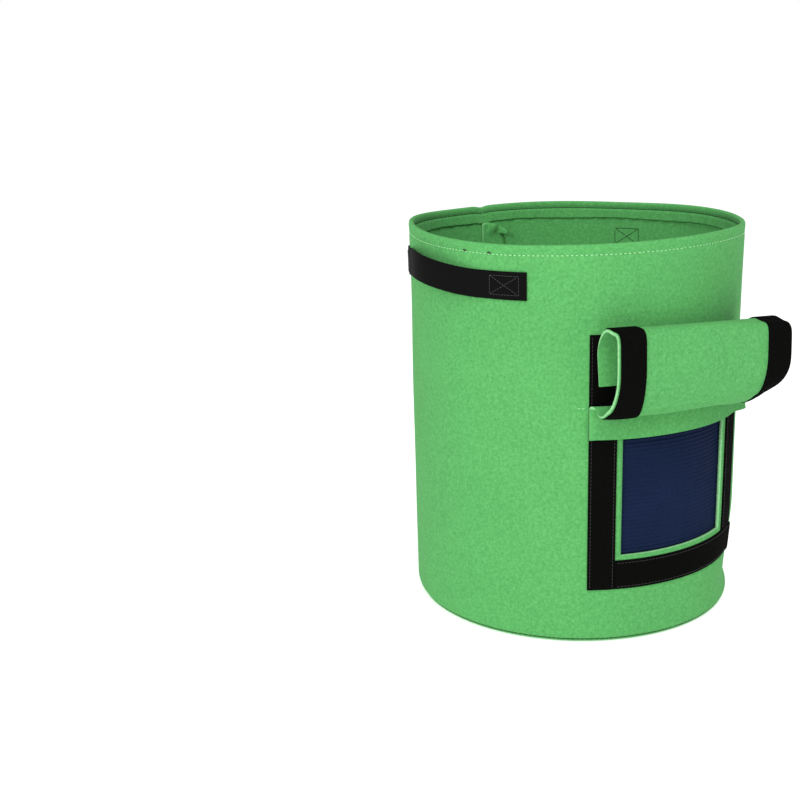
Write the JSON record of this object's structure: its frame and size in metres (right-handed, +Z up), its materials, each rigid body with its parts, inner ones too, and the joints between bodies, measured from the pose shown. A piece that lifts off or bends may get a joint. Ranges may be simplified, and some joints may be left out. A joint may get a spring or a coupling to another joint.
{
  "type": "fabric grow bag",
  "caption": "Round felt planting bag with sewn webbing handles and a side window closed by a roll-up hook-and-loop flap.",
  "frame": {"origin": "centre of the base, on the surface that the bag stands on", "axes": "+Z up; the window and its flap face -Y; the handles are at -X and +X"},
  "size_m": [0.3216, 0.3391, 0.35],
  "materials": {
    "felt": "bright green needle felt, fuzzy, matt",
    "tape": "black hook-and-loop tape, matt pile",
    "webbing": "black woven polypropylene webbing, slight sheen",
    "panel": "navy ribbed sheet, satin",
    "thread": "sewing thread"
  },
  "bodies": {
    "bag": {"side_wall": "felt", "base_disc": "felt", "base_seam_allowance": "felt", "rim_hem": "felt", "side_seam_allowance": "felt", "window_panel": "panel", "loop_tape_left": "tape", "loop_tape_right": "tape", "loop_tape_bottom": "tape", "flap_seam_allowance": "felt", "handle_left_front_end": "webbing", "handle_left_back_end": "webbing", "handle_right_front_end": "webbing", "handle_right_back_end": "webbing"},
    "flap_1": {"flap_row_1": "felt", "hook_tape_left_1": "tape", "hook_tape_right_1": "tape"},
    "flap_2": {"flap_row_2": "felt", "hook_tape_left_2": "tape", "hook_tape_right_2": "tape"},
    "flap_3": {"flap_row_3": "felt", "hook_tape_left_3": "tape", "hook_tape_right_3": "tape"},
    "flap_4": {"flap_row_4": "felt", "hook_tape_left_4": "tape", "hook_tape_right_4": "tape"},
    "flap_5": {"flap_row_5": "felt", "hook_tape_left_5": "tape", "hook_tape_right_5": "tape"},
    "flap_6": {"flap_row_6": "felt", "hook_tape_left_6": "tape", "hook_tape_right_6": "tape", "hook_tape_end": "tape"},
    "handle_left": {"handle_left_strap": "webbing"},
    "handle_right": {"handle_right_strap": "webbing"}
  },
  "joints": [
    {"name": "flap_unroll", "type": "hinge", "parent": "bag", "child": "flap_1", "pos_m": [-0.01639, -0.15589, 0.213], "axis": [0.9945, -0.1045, 0], "range_deg": [0, 70]},
    {"name": "flap_fold_2", "type": "hinge", "parent": "flap_1", "child": "flap_2", "pos_m": [-0.01776, -0.16897, 0.20821], "axis": [0.9945, -0.1045, 0], "range_deg": [0, 98.05]},
    {"name": "flap_fold_3", "type": "hinge", "parent": "flap_2", "child": "flap_3", "pos_m": [-0.01845, -0.17559, 0.23951], "axis": [0.9945, -0.1045, 0], "range_deg": [0, 14.05]},
    {"name": "flap_fold_4", "type": "hinge", "parent": "flap_3", "child": "flap_4", "pos_m": [-0.01829, -0.17403, 0.28448], "axis": [0.9945, -0.1045, 0], "range_deg": [0, 80.05]},
    {"name": "flap_fold_5", "type": "hinge", "parent": "flap_4", "child": "flap_5", "pos_m": [-0.01736, -0.16517, 0.28574], "axis": [0.9945, -0.1045, 0], "range_deg": [0, 26.05]},
    {"name": "flap_fold_6", "type": "hinge", "parent": "flap_5", "child": "flap_6", "pos_m": [-0.01637, -0.15571, 0.28265], "axis": [0.9945, -0.1045, 0], "range_deg": [0, 78.05]},
    {"name": "handle_left_lift", "type": "hinge", "parent": "bag", "child": "handle_left", "pos_m": [-0.13731, 0, 0.327], "axis": [0, 1, 0], "range_deg": [0, 40]},
    {"name": "handle_right_lift", "type": "hinge", "parent": "bag", "child": "handle_right", "pos_m": [0.13731, 0, 0.327], "axis": [0, -1, 0], "range_deg": [0, 40]}
  ],
  "couplings": [
    {"joint": "flap_fold_2", "follows": "flap_unroll", "ratio": 1.4},
    {"joint": "flap_fold_3", "follows": "flap_unroll", "ratio": 0.2},
    {"joint": "flap_fold_4", "follows": "flap_unroll", "ratio": 1.1429},
    {"joint": "flap_fold_5", "follows": "flap_unroll", "ratio": 0.37143},
    {"joint": "flap_fold_6", "follows": "flap_unroll", "ratio": 1.1143}
  ]
}
